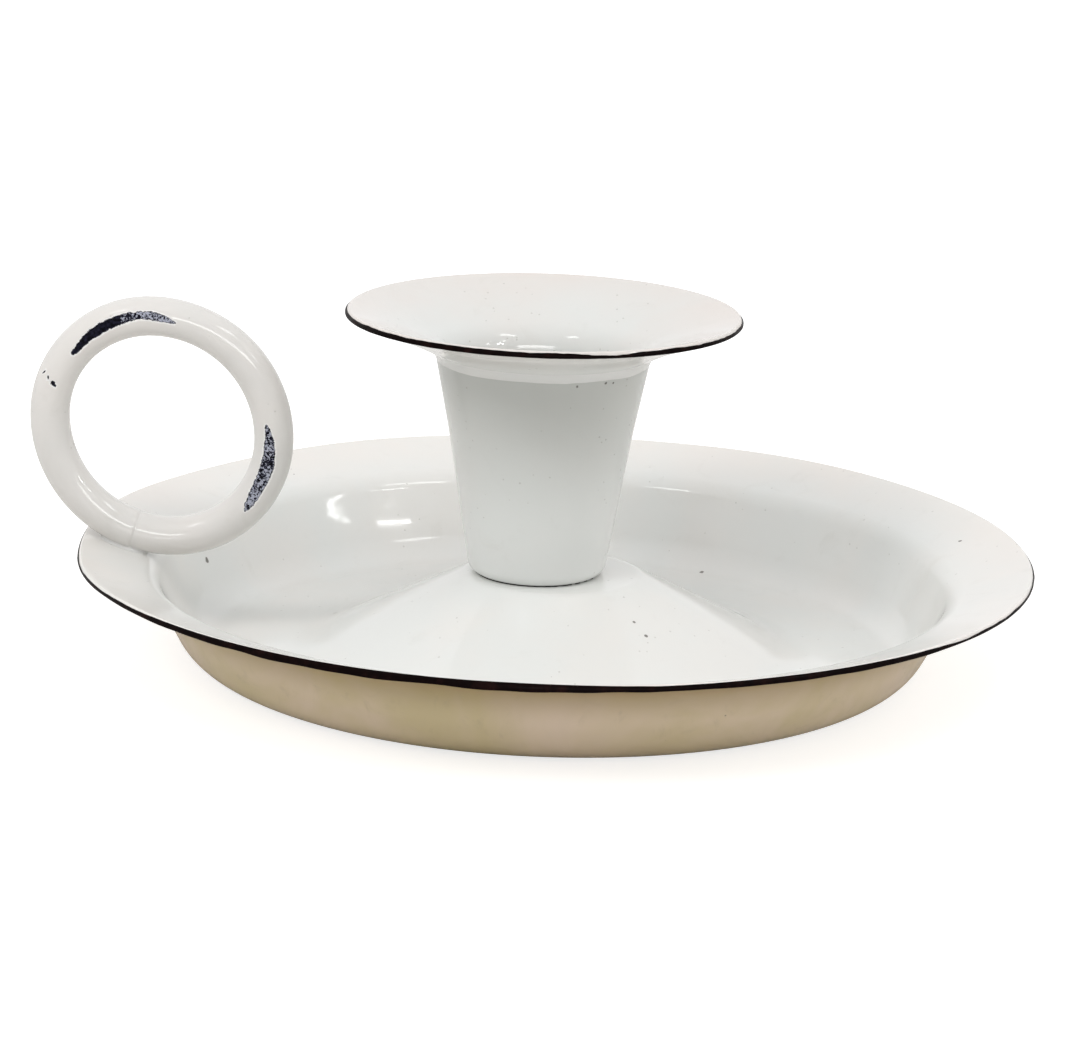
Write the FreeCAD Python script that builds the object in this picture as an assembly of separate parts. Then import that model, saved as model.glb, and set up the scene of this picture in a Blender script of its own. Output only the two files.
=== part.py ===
"""Enamelled chamberstick: a spun saucer with a raised cone, a tapered candle socket with a
flared drip collar, and a tube ring that stands on the rim flare as the finger loop.

Millimetres. The origin is the centre of the flat trough that the saucer rests on, +Z is up,
and the finger ring stands toward -X.
"""
import math
import os

import FreeCAD
import Part

# Saucer, by the upper surface of its sheet, from the rim inwards
pan_sheet = 0.9
rim_radius = 80.0
rim_height = 19.0
flare_width = 13.5
flare_rise = 4.3
flare_bend = 5.0
wall_run = 6.6
wall_foot_bend = 7.8
trough_width = 19.3
cone_foot_bend = 14.0
crown_radius = 14.6
crown_height = 14.4
crown_bend = 3.6

# Black coat on the saucer's cut edge
pan_band_bulge = 0.35
pan_band_margin = 0.12

# Candle socket, by its outer surface
socket_sheet = 0.9
socket_offset = 2.8
socket_height = 36.6
socket_mouth_radius = 17.75
socket_mouth_flare = 2.35
socket_waist_height = 24.7
socket_waist_bend = 90.0
socket_body_flare = 4.1
socket_foot_bend = 2.2

# Drip collar, by its lower surface
collar_sheet = 1.15
collar_radius = 33.2
collar_rise = 7.0
collar_turn_radius = 24.3
collar_turn_rise = 3.9
collar_turn_bend = 60.0
collar_neck_bend = 0.8
collar_neck_length = 6.0
collar_neck_clearance = 0.06
collar_seat_clearance = 0.2

# Black coat on the collar's cut edge
collar_band_bulge = 0.35
collar_band_margin = 0.08

# Fillet that joins the collar to the socket's wall
neck_fillet_leg = 0.5
neck_fillet_hollow = 0.06

# Rivet through the socket's floor and the crown
rivet_radius = 1.8
rivet_hole_clearance = 0.08
rivet_head_radius = 3.9
rivet_head_height = 1.7
rivet_tail_radius = 3.4
rivet_tail_height = 1.5
rivet_rim_height = 0.5

# Finger ring, by the centre line of its tube
ring_tube_radius = 3.3
ring_tube_wall = 0.9
ring_long_radius = 19.35
ring_short_radius = 17.95
ring_lean_deg = 43.7
ring_blend_deg = 45.0
ring_contact_inset = 8.8
ring_seat_clearance = 0.08
ring_butt_gap = 0.3

# Fillet that joins the ring to the flare
ring_fillet_half_length = 7.4
ring_fillet_half_width = 4.2
ring_fillet_height = 1.25

# How far a cutting tool runs past what it cuts
cut_overrun = 1.5

# The most of a straight run that the bend at one of its ends may take
bend_room_share = 0.48

full_turn = math.degrees(math.tau)
z_axis = FreeCAD.Vector(0, 0, 1)
y_axis = FreeCAD.Vector(0, 1, 0)


def point(radius, height):
    return FreeCAD.Vector(radius, 0, height)


def line_slope(start, end):
    return math.atan2(end.z - start.z, end.x - start.x)


def directions(line):
    steps = [end - start for start, end in zip(line, line[1:])]
    return [step.normalize() for step in steps]


def beside(line, distance):
    """The line of corners that runs beside another one, to its left for a distance above 0."""
    ways = directions(line)
    normals = [FreeCAD.Vector(-way.z, 0, way.x) for way in ways]
    corners = [line[0] + normals[0] * distance]
    for corner, before, after in zip(line[1:], normals, normals[1:]):
        mitre = (before + after) * (distance / (1 + before.dot(after)))
        corners.append(corner + mitre)
    corners.append(line[-1] + normals[-1] * distance)
    return corners


def left_turns(line):
    """For each inner corner, 1 where the line turns left and -1 where it turns right."""
    ways = directions(line)
    turns = [before.x * after.z - before.z * after.x for before, after in zip(ways, ways[1:])]
    return [math.copysign(1, turn) for turn in turns]


def bent_edges(line, bends):
    """Straight runs joined by tangent arcs, one arc of the given radius at each inner corner."""
    edges = []
    start = line[0]
    for before, corner, after, bend in zip(line, line[1:], line[2:], bends):
        back = (before - corner).normalize()
        ahead = (after - corner).normalize()
        half = math.acos(back.dot(ahead)) / 2
        reach = bend / math.tan(half)
        middle = (back + ahead).normalize()
        arc_start = corner + back * reach
        arc_end = corner + ahead * reach
        arc_middle = corner + middle * (bend / math.sin(half) - bend)
        edges.append(Part.LineSegment(start, arc_start).toShape())
        edges.append(Part.Arc(arc_start, arc_middle, arc_end).toShape())
        start = arc_end
    edges.append(Part.LineSegment(start, line[-1]).toShape())
    return edges


def bends_with_room(line, bends):
    """Each bend's radius, made smaller only where its two straight runs are too short for it."""
    runs = [(end - start).Length for start, end in zip(line, line[1:])]
    ways = directions(line)
    radii = []
    for number, bend in enumerate(bends):
        turn = ways[number].getAngle(ways[number + 1])
        reach = bend_room_share * min(runs[number], runs[number + 1])
        radii.append(min(bend, reach / math.tan(turn / 2)))
    return radii


def sheet_section(line, bends, thickness):
    """A bent sheet's section: its metal lies left of the line for a thickness above 0."""
    other = beside(line, thickness)
    near_bends = bends_with_room(line, bends)
    far_bends = [bend - turn * thickness for bend, turn in zip(near_bends, left_turns(line))]
    near = bent_edges(line, near_bends)
    far = bent_edges(other, far_bends)
    caps = [
        Part.LineSegment(line[0], other[0]).toShape(),
        Part.LineSegment(line[-1], other[-1]).toShape(),
    ]
    wire = Part.Wire(Part.__sortEdges__(near + far + caps))
    return Part.Face(wire)


def spun(section):
    return section.revolve(FreeCAD.Vector(0, 0, 0), z_axis, full_turn)


def arc_section(start, middle, end, *corners):
    """A section with one arc, closed by straight runs through the corners."""
    ends = [end] + list(corners) + [start]
    edges = [Part.Arc(start, middle, end).toShape()]
    edges += [Part.LineSegment(a, b).toShape() for a, b in zip(ends, ends[1:])]
    return Part.Face(Part.Wire(edges))


def edge_band(top, bottom, margin, bulge):
    """The coat on a cut edge: a low round bead from under the top corner to the bottom one."""
    down = (bottom - top).normalize()
    outward = FreeCAD.Vector(-down.z, 0, down.x)
    start = top + down * margin
    middle = (start + bottom) / 2 + outward * bulge
    return spun(arc_section(start, middle, bottom))


def at_socket(shape):
    """A shape made about the Z axis, moved to the socket's own axis."""
    moved = shape.copy()
    moved.translate(FreeCAD.Vector(-socket_offset, 0, 0))
    return moved


# Saucer
def flare_slope():
    return math.atan2(flare_rise, flare_width)


def band_inset(above_middle, bulge, slope):
    """How far a corner of a cut edge lies inside the outermost reach of its black coat."""
    return bulge * math.cos(slope) + above_middle * math.sin(slope)


def pan_line():
    inset = band_inset(pan_sheet / 2, pan_band_bulge, flare_slope())
    edge_radius = rim_radius - inset
    edge_height = rim_height - inset * math.tan(flare_slope())
    flare_foot = point(rim_radius - flare_width, rim_height - flare_rise)
    wall_foot_radius = flare_foot.x - wall_run
    return [
        point(0, crown_height),
        point(crown_radius, crown_height),
        point(wall_foot_radius - trough_width, pan_sheet),
        point(wall_foot_radius, pan_sheet),
        flare_foot,
        point(edge_radius, edge_height),
    ]


def drip_pan():
    bends = [crown_bend, cone_foot_bend, wall_foot_bend, flare_bend]
    pan = spun(sheet_section(pan_line(), bends, -pan_sheet))
    return pan.cut(at_socket(rivet_hole()))


def pan_edge_band():
    top = pan_line()[-1]
    bottom = beside(pan_line(), -pan_sheet)[-1]
    return edge_band(top, bottom, pan_band_margin, pan_band_bulge)


# Candle socket
def socket_line():
    waist_radius = socket_mouth_radius - socket_mouth_flare
    return [
        point(0, crown_height),
        point(waist_radius - socket_body_flare, crown_height),
        point(waist_radius, crown_height + socket_waist_height),
        point(socket_mouth_radius, crown_height + socket_height),
    ]


def socket_inner_top():
    """The inner corner of the socket's mouth, on the level of its top edge."""
    inner = beside(socket_line(), socket_sheet)
    slope = line_slope(inner[-2], inner[-1])
    top = crown_height + socket_height
    return point(inner[-1].x + (top - inner[-1].z) / math.tan(slope), top)


def socket_wall_radius(height):
    waist, mouth = socket_line()[-2:]
    return mouth.x + (height - mouth.z) / math.tan(line_slope(waist, mouth))


def candle_socket():
    """The cup, made a little too high along its wall and then cut level at the mouth."""
    line = socket_line()
    slope = line_slope(line[-2], line[-1])
    line[-1] = line[-1] + FreeCAD.Vector(cut_overrun / math.tan(slope), 0, cut_overrun)
    bends = [socket_foot_bend, socket_waist_bend]
    cup = spun(sheet_section(line, bends, socket_sheet))
    trim_radius = line[-1].x + cut_overrun
    top = point(0, crown_height + socket_height)
    trim = Part.makeCylinder(trim_radius, cut_overrun * 2, top)
    return at_socket(cup.cut(trim).cut(rivet_hole()))


# Drip collar
def collar_line():
    mouth = socket_inner_top()
    top = mouth.z + collar_seat_clearance
    slope = line_slope(*beside(socket_line(), socket_sheet)[-2:])
    lean = math.cos(slope) / math.sin(slope)
    neck_radius = mouth.x - collar_neck_clearance + collar_seat_clearance * lean
    foot_drop = collar_neck_length + collar_seat_clearance
    rim_slope = math.atan2(collar_rise - collar_turn_rise, collar_radius - collar_turn_radius)
    inset = band_inset(-collar_sheet / 2, collar_band_bulge, rim_slope)
    return [
        point(neck_radius - foot_drop * lean, top - foot_drop),
        point(neck_radius, top),
        point(collar_turn_radius, top + collar_turn_rise),
        point(collar_radius - inset, top + collar_rise - inset * math.tan(rim_slope)),
    ]


def drip_collar():
    bends = [collar_neck_bend, collar_turn_bend]
    return at_socket(spun(sheet_section(collar_line(), bends, collar_sheet)))


def collar_edge_band():
    bottom = collar_line()[-1]
    top = beside(collar_line(), collar_sheet)[-1]
    return at_socket(edge_band(top, bottom, collar_band_margin, collar_band_bulge))


def collar_braze():
    """The hollow fillet in the corner under the collar, with what lies between the two."""
    neck, turn = collar_line()[1:3]
    low_height = crown_height + socket_height - neck_fillet_leg
    low = point(socket_wall_radius(low_height), low_height)
    high_radius = socket_mouth_radius + neck_fillet_leg
    rise = math.tan(line_slope(neck, turn))
    high = point(high_radius, neck.z + (high_radius - neck.x) * rise)
    way = (high - low).normalize()
    inward = FreeCAD.Vector(-way.z, 0, way.x)
    middle = (low + high) / 2 + inward * neck_fillet_hollow
    inner = neck + FreeCAD.Vector(collar_seat_clearance, 0, 0)
    bead = at_socket(spun(arc_section(low, middle, high, inner)))
    return bead.cut(candle_socket()).cut(drip_collar())


# Rivet
def rivet_hole():
    """What is cut out of the crown and the cup's floor, about the Z axis."""
    radius = rivet_radius + rivet_hole_clearance
    depth = pan_sheet + socket_sheet + cut_overrun * 2
    start = point(0, crown_height - pan_sheet - cut_overrun)
    return Part.makeCylinder(radius, depth, start)


def domed_head(radius, height, seat):
    """A head's outline from its seat to its crown: a short rim, then a round cap."""
    way = math.copysign(1, height)
    rim = seat + way * rivet_rim_height
    crown = seat + height
    cap_height = abs(crown - rim)
    cap_radius = (radius ** 2 + cap_height ** 2) / (cap_height * 2)
    half = math.asin(radius / cap_radius) / 2
    fall = cap_radius * (1 - math.cos(half))
    middle = point(cap_radius * math.sin(half), crown - way * fall)
    return [
        Part.LineSegment(point(radius, seat), point(radius, rim)).toShape(),
        Part.Arc(point(radius, rim), middle, point(0, crown)).toShape(),
    ]


def socket_rivet():
    floor = crown_height + socket_sheet
    under = crown_height - pan_sheet
    head = domed_head(rivet_head_radius, rivet_head_height, floor)
    tail = domed_head(rivet_tail_radius, -rivet_tail_height, under)
    shank = [
        Part.LineSegment(point(rivet_head_radius, floor), point(rivet_radius, floor)).toShape(),
        Part.LineSegment(point(rivet_radius, floor), point(rivet_radius, under)).toShape(),
        Part.LineSegment(point(rivet_radius, under), point(rivet_tail_radius, under)).toShape(),
    ]
    bottom = point(0, under - rivet_tail_height)
    top = point(0, floor + rivet_head_height)
    core = [Part.LineSegment(bottom, top).toShape()]
    wire = Part.Wire(Part.__sortEdges__(head + shank + tail + core))
    return at_socket(spun(Part.Face(wire)))


# Finger ring
def ring_arc_radii():
    """Radii of the oval's tight end arcs and of its flatter side arcs, which meet tangent."""
    blend = math.radians(ring_blend_deg)
    grow = (ring_long_radius - ring_short_radius) / (math.sin(blend) + math.cos(blend) - 1)
    end = ring_long_radius - grow * math.cos(blend)
    return end, end + grow


def ring_start_angle():
    """From +X to the upper end of the oval's long axis, which leans from upright to -X."""
    return math.tau / 4 + math.radians(ring_lean_deg)


def ring_way(turn):
    """The direction at a turn about -Y from the upper end of the oval's long axis."""
    angle = ring_start_angle() + turn
    return FreeCAD.Vector(math.cos(angle), 0, math.sin(angle))


def ring_arcs(last_turn):
    """Centre, radius, first and last turn of each arc, once round up to the last turn.

    The arcs' middles lie a quarter turn apart, the even ones on the long axis, and the arc
    that holds the last turn is there twice, as its part before that turn and its part after.
    """
    blend = math.radians(ring_blend_deg)
    end_radius, side_radius = ring_arc_radii()
    quarter = math.tau / 4
    arcs = []
    for number in range(-3, 3):
        middle = number * quarter
        on_long_axis = number % 2 == 0
        half = blend if on_long_axis else quarter - blend
        radius = end_radius if on_long_axis else side_radius
        oval_radius = ring_long_radius if on_long_axis else ring_short_radius
        first = max(middle - half, last_turn - math.tau)
        last = min(middle + half, last_turn)
        if last > first:
            arcs.append((ring_way(middle) * (oval_radius - radius), radius, first, last))
    return arcs


def contact_turn():
    """The turn from the upper long axis to the side of the ring that rests on the flare."""
    square_to_flare = math.tau * 3 / 4 - flare_slope()
    return square_to_flare - ring_start_angle()


def ring_contact():
    """The point of the flare's upper surface that the ring's two ends stand over."""
    drop = ring_contact_inset * math.tan(flare_slope())
    return point(ring_contact_inset - rim_radius, rim_height - drop)


def ring_centre():
    """Where the oval's middle lies so that its tube rests on the flare at the contact."""
    turn = contact_turn()
    arc_centre, arc_radius = ring_arcs(turn)[-1][:2]
    lowest = arc_centre + ring_way(turn) * (arc_radius + ring_tube_radius + ring_seat_clearance)
    return ring_contact() - lowest


def tube_bend(centre, radius, first, last, section_radii):
    """One bend of round tube, or of solid bar where one radius is given."""
    way = ring_way(first)
    along = y_axis.cross(way) * -1
    start = centre + way * radius
    discs = [Part.Face(Part.Wire(Part.makeCircle(size, start, along))) for size in section_radii]
    section = discs[0].cut(discs[1:]) if discs[1:] else discs[0]
    return section.revolve(centre, y_axis * -1, math.degrees(last - first))


def ring_body(section_radii):
    """The bends in one piece, open by the butt gap where the ring stands on the flare."""
    turn = contact_turn()
    arcs = ring_arcs(turn)
    gap_turn = ring_butt_gap / arcs[-1][1]
    bends = []
    for middle, radius, first, last in arcs:
        first = max(first, turn - math.tau + gap_turn / 2)
        last = min(last, turn - gap_turn / 2)
        bends.append(tube_bend(ring_centre() + middle, radius, first, last, section_radii))
    return bends[0].fuse(bends[1:]).removeSplitter()


def finger_ring():
    return ring_body([ring_tube_radius, ring_tube_radius - ring_tube_wall])


def ring_braze():
    """The puddle at the ring's foot, without the flare and the tube that it wets."""
    matrix = FreeCAD.Matrix()
    matrix.scale(ring_fillet_half_length, ring_fillet_half_width, ring_fillet_height)
    puddle = Part.makeSphere(1).transformGeometry(matrix)
    puddle.rotate(FreeCAD.Vector(0, 0, 0), y_axis, math.degrees(flare_slope()))
    puddle.translate(ring_contact())
    bead = puddle.cut(drip_pan()).cut(ring_body([ring_tube_radius]))
    return max(bead.Solids, key=lambda solid: solid.Volume)


def main():
    os.makedirs("parts", exist_ok=True)
    nodes = {
        "drip_pan": drip_pan,
        "pan_edge_band": pan_edge_band,
        "candle_socket": candle_socket,
        "drip_collar": drip_collar,
        "collar_edge_band": collar_edge_band,
        "collar_braze": collar_braze,
        "socket_rivet": socket_rivet,
        "finger_ring": finger_ring,
        "ring_braze": ring_braze,
    }
    for name, make in nodes.items():
        shape = make()
        shape.exportStep("parts/" + name + ".step")
        box = shape.optimalBoundingBox()
        print(
            name, len(shape.Solids), "solids, volume", round(shape.Volume, 2),
            "valid", shape.isValid(),
            "x", round(box.XMin, 2), round(box.XMax, 2),
            "z", round(box.ZMin, 2), round(box.ZMax, 2),
        )


main()
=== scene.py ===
"""The looks of the enamelled chamberstick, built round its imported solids.

Metres, in the solids' own frame: +Z is up and the finger ring stands toward -X.
"""
import math

import bpy
from mathutils import Matrix, Vector, noise


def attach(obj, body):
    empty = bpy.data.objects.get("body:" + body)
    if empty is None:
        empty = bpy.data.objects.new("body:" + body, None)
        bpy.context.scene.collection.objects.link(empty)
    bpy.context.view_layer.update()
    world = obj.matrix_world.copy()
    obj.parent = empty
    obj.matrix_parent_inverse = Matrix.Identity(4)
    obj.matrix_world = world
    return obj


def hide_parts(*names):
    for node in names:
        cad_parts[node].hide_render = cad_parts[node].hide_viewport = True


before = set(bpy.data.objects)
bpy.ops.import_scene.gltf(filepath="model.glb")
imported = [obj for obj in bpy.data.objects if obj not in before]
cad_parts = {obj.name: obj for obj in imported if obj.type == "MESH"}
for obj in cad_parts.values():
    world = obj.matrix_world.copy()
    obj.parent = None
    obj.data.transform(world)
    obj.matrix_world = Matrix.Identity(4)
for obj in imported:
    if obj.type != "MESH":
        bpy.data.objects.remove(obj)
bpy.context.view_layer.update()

mm = 0.001
full_turn = math.tau

# Saucer, by the upper surface of its sheet, from the rim inwards
pan_sheet = 0.9 * mm
rim_radius = 80.0 * mm
rim_height = 19.0 * mm
rim_inset = 0.45 * mm
flare_width = 13.5 * mm
flare_rise = 4.3 * mm
flare_bend = 5.0 * mm
rim_end_bend = 0.3 * mm
wall_run = 6.6 * mm
wall_bow = 0.3 * mm
wall_bow_bend = 60.0 * mm
wall_foot_bend = 7.8 * mm
trough_width = 19.3 * mm
cone_foot_bend = 14.0 * mm
crown_radius = 14.6 * mm
crown_height = 14.4 * mm
crown_bend = 3.6 * mm

# Candle socket, by its outer surface
socket_sheet = 0.9 * mm
socket_offset = 2.8 * mm
socket_height = 36.6 * mm
socket_mouth_radius = 17.75 * mm
socket_mouth_flare = 2.35 * mm
socket_waist_height = 24.7 * mm
socket_waist_bend = 90.0 * mm
socket_body_flare = 4.1 * mm
socket_foot_bend = 2.2 * mm
rivet_hole_radius = 1.88 * mm
rivet_hole_reach = 11.0 * mm
socket_end_bend = 0.25 * mm
# A black ring painted as the shade in the crevice round the socket's foot
foot_line_radius = 10.0 * mm
foot_line_width = 0.48 * mm
foot_line_height = 0.30 * mm
foot_line_sunk = 0.06 * mm

# Drip collar, by its lower surface
collar_sheet = 1.15 * mm
collar_radius = 33.2 * mm
collar_inset = 0.45 * mm
collar_rise = 7.0 * mm
collar_turn_radius = 24.3 * mm
collar_turn_rise = 3.9 * mm
collar_turn_bend = 60.0 * mm
collar_neck_bend = 0.8 * mm
collar_lip_bend = 6.0 * mm
collar_neck_length = 6.0 * mm
collar_neck_clearance = 0.06 * mm
collar_seat_clearance = 0.2 * mm
collar_end_bend = 0.3 * mm
collar_sag = 0.35 * mm
collar_sag_start_share = 0.6
fillet_leg = 0.85 * mm
fillet_sunk = 0.05 * mm
fillet_foot = 0.2 * mm
fillet_root = 0.3 * mm
fillet_step = 0.1 * mm
fillet_hollow_share = 0.16

# The black coat on the two cut edges
rim_coat_bulge = 0.24 * mm
collar_coat_bulge = 0.26 * mm
coat_inner = 0.25 * mm
coat_wander = 0.06 * mm

# Finger ring, by the centre line of its tube
ring_tube_radius = 3.3 * mm
ring_long_radius = 19.35 * mm
ring_short_radius = 17.95 * mm
ring_lean = math.radians(43.7)
ring_blend = math.radians(45.0)
ring_contact_inset = 8.8 * mm
ring_seat_clearance = 0.08 * mm
ring_film = 0.03 * mm
ring_wave_size = 13 * mm
ring_wave_depth = 0.05 * mm
seam_depth = 0.07 * mm
seam_width = 0.28 * mm
seam_step = 0.12 * mm
seam_step_length = 3.2 * mm
ring_web_bend = 0.45 * mm
ring_web_outward = 5.6 * mm
ring_web_inward = 3.3 * mm
ring_web_sunk = 0.25 * mm
ring_web_skirt_sunk = 0.03 * mm
ring_web_end_play = 0.02 * mm
ring_web_least_half = 0.02 * mm
ring_web_wave_size = 3 * mm

# How fine the meshes are
lathe_turns = 360
rim_end_white_columns = 5
ring_rows = 800
ring_columns = 120
web_rows = 90
arc_step = 0.35 * mm
run_step = 1.1 * mm


# Outlines, as lists of (radius, height)
def minus(a, b):
    return (a[0] - b[0], a[1] - b[1])


def plus(a, b, share=1.0):
    return (a[0] + b[0] * share, a[1] + b[1] * share)


def unit(a):
    length = math.hypot(*a)
    return (a[0] / length, a[1] / length)


def directions(line):
    return [unit(minus(end, start)) for start, end in zip(line, line[1:])]


def beside(line, distance):
    """The line of corners that runs beside another one, to its left for a distance above 0."""
    normals = [(-way[1], way[0]) for way in directions(line)]
    corners = [plus(line[0], normals[0], distance)]
    for corner, before, after in zip(line[1:], normals, normals[1:]):
        share = distance / (1 + before[0] * after[0] + before[1] * after[1])
        corners.append(plus(corner, plus(before, after), share))
    corners.append(plus(line[-1], normals[-1], distance))
    return corners


def left_turns(line):
    ways = directions(line)
    turns = [before[0] * after[1] - before[1] * after[0] for before, after in zip(ways, ways[1:])]
    return [math.copysign(1, turn) for turn in turns]


def arc_points(corner, back, ahead, bend):
    """The points of the arc that rounds a corner between two directions away from it."""
    half = math.acos(back[0] * ahead[0] + back[1] * ahead[1]) / 2
    start = plus(corner, back, bend / math.tan(half))
    centre = plus(corner, unit(plus(back, ahead)), bend / math.sin(half))
    turn = math.pi - 2 * half
    side = math.copysign(1, back[0] * ahead[1] - back[1] * ahead[0])
    first = math.atan2(start[1] - centre[1], start[0] - centre[0])
    count = max(4, math.ceil(bend * turn / arc_step))
    angles = [first - side * turn * number / count for number in range(count + 1)]
    return [(centre[0] + bend * math.cos(a), centre[1] + bend * math.sin(a)) for a in angles]


def bent(line, bends):
    """A line of corners with each inner corner rounded."""
    points = [line[0]]
    for before, corner, after, bend in zip(line, line[1:], line[2:], bends):
        points += arc_points(corner, unit(minus(before, corner)), unit(minus(after, corner)), bend)
    return points + [line[-1]]


def divided(points, step):
    """The same points with more between them wherever two are further apart than a step."""
    fine = []
    for start, end in zip(points, points[1:]):
        way = minus(end, start)
        count = max(1, math.ceil(math.hypot(*way) / step))
        fine += [plus(start, way, number / count) for number in range(count)]
    return fine + [points[-1]]


def sheet_sides(line, bends, thickness):
    """Both sides of a bent sheet: the line's own and the one to its left."""
    far_bends = [bend - turn * thickness for bend, turn in zip(bends, left_turns(line))]
    near = divided(bent(line, bends), run_step)
    far = divided(bent(beside(line, thickness), far_bends), run_step)
    return near, far


# Meshes
def smooth(mesh):
    mesh.polygons.foreach_set("use_smooth", [True] * len(mesh.polygons))


def new_piece(name, points, faces, materials):
    mesh = bpy.data.meshes.new(name)
    mesh.from_pydata([tuple(point) for point in points], [], faces)
    smooth(mesh)
    for material in materials:
        mesh.materials.append(material)
    piece = bpy.data.objects.new(name, mesh)
    bpy.context.scene.collection.objects.link(piece)
    return piece


def grid_faces(rows, columns, closed_rows):
    """Quads that join rows of points, each row a closed loop of columns."""
    faces = []
    for row in range(rows if closed_rows else rows - 1):
        here = row * columns
        there = (row + 1) % rows * columns
        for column in range(columns):
            beyond = (column + 1) % columns
            faces.append((here + column, here + beyond, there + beyond, there + column))
    return faces


def lathe(name, outline_at, materials, axis_x=0.0, warp=None, face_material=None):
    """A ring turned about a vertical axis: outline_at(angle) is its closed outline there."""
    points = []
    columns = len(outline_at(0.0))
    for number in range(lathe_turns):
        angle = full_turn * number / lathe_turns
        for radius, height in outline_at(angle):
            x, y = radius * math.cos(angle), radius * math.sin(angle)
            points.append(Vector((axis_x + x, y, height)))
    if warp:
        points = [warp(point) for point in points]
    piece = new_piece(name, points, grid_faces(lathe_turns, columns, True), materials)
    if face_material:
        numbers = [face_material(number % columns) for number in range(len(piece.data.polygons))]
        piece.data.polygons.foreach_set("material_index", numbers)
    return piece


# Materials
def rgb(red, green, blue):
    return (red, green, blue, 1.0)


class Graph:
    """A node tree, with short calls for its nodes. Its textures lie in the coordinates place."""

    def __init__(self, tree, place):
        self.tree = tree
        self.place = self.node("ShaderNodeTexCoord").outputs[place]

    def node(self, kind, inputs=None, **settings):
        """A new node with its settings, and with its inputs by their names or numbers."""
        made = self.tree.nodes.new(kind)
        for key, value in settings.items():
            setattr(made, key, value)
        for key, value in (inputs or {}).items():
            self.put(made.inputs[key], value)
        return made

    def put(self, socket, value):
        if isinstance(value, bpy.types.NodeSocket):
            self.tree.links.new(value, socket)
        else:
            socket.default_value = value

    def math(self, operation, first, second=0.0, clamp=False):
        made = self.node("ShaderNodeMath", {0: first, 1: second}, operation=operation, use_clamp=clamp)
        return made.outputs[0]

    def add(self, first, second):
        return self.math("ADD", first, second)

    def times(self, first, second):
        return self.math("MULTIPLY", first, second)

    def squared(self, value):
        return self.times(value, value)

    def most(self, values):
        highest = values[0]
        for value in values[1:]:
            highest = self.math("MAXIMUM", highest, value)
        return highest

    def noise(self, size, detail=2.0, roughness=0.5, distortion=0.0):
        made = self.node("ShaderNodeTexNoise", {
            "Vector": self.place,
            "Scale": 1 / size,
            "Detail": detail,
            "Roughness": roughness,
            "Distortion": distortion,
        })
        return made.outputs["Fac"]

    def ramp(self, value, low, high, start=0.0, end=1.0):
        """A soft step from start to end while a value goes from low to high."""
        made = self.node("ShaderNodeMapRange", {
            "Value": value,
            "From Min": low,
            "From Max": high,
            "To Min": start,
            "To Max": end,
        }, interpolation_type="SMOOTHSTEP")
        return made.outputs["Result"]

    def mix(self, share, first, second):
        """A share of the second colour in the first. The node's colours are its inputs 6 and 7."""
        made = self.node("ShaderNodeMix", {0: share, 6: first, 7: second}, data_type="RGBA")
        return made.outputs[2]

    def cells(self, size):
        """Distance from each cell's own point, and a number from 0 to 1 that is the cell's own."""
        made = self.node("ShaderNodeTexVoronoi", {"Vector": self.place, "Scale": 1 / size})
        split = self.node("ShaderNodeSeparateColor", {0: made.outputs["Color"]})
        return self.times(made.outputs["Distance"], size), split.outputs[0]

    def axes(self):
        return self.node("ShaderNodeSeparateXYZ", {0: self.place}).outputs

    def radius(self, centre_x=0.0):
        """Distance from a vertical axis."""
        x, y, z = self.axes()
        squares = self.add(self.squared(self.add(x, -centre_x)), self.squared(y))
        return self.math("SQRT", squares)

    def attribute(self, name):
        return self.node("ShaderNodeAttribute", attribute_name=name).outputs["Fac"]

    def near(self, place, radius):
        """1 at a place and 0 beyond a radius from it, with a ragged edge."""
        away = self.node("ShaderNodeVectorMath", {0: self.place, 1: place}, operation="DISTANCE")
        ragged = self.times(self.noise(mark_ragged_size), radius)
        return self.ramp(self.add(away.outputs["Value"], ragged), radius * 1.55, radius * 1.3)


class MaterialGraph(Graph):
    """The node tree of a new material, with its shader."""

    def __init__(self, name):
        self.material = bpy.data.materials.new(name)
        self.material.use_nodes = True
        super().__init__(self.material.node_tree, "Object")
        self.shader = self.tree.nodes["Principled BSDF"]

    def shade(self, inputs):
        for name, value in inputs.items():
            self.put(self.shader.inputs[name], value)

    def bump(self, *layers):
        """Stacked bumps, each a height from 0 to 1 and its real depth in metres."""
        normal = None
        for height, depth in layers:
            made = self.node("ShaderNodeBump", {"Strength": 1.0, "Distance": depth, "Height": height})
            if normal:
                self.put(made.inputs["Normal"], normal)
            normal = made.outputs["Normal"]
        self.shade({"Normal": normal})


# How large the white coat's patches and pits are, and how deep its relief is
mottle_size = 22 * mm
smudge_size = 6 * mm
pit_cell = 3.4 * mm
pit_radius = 0.17 * mm
pit_patch = 22 * mm
fine_pit_cell = 1.3 * mm
fine_pit_radius = 0.21 * mm
fine_pit_patch = 15 * mm
pit_patch_level = 0.48
pit_depth = 0.05 * mm
gloss_patch = 9 * mm
ripple_size = 14 * mm
ripple_depth = 0.035 * mm
peel_size = 1.6 * mm
peel_depth = 0.0018 * mm
mark_ragged_size = 0.45 * mm
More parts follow.
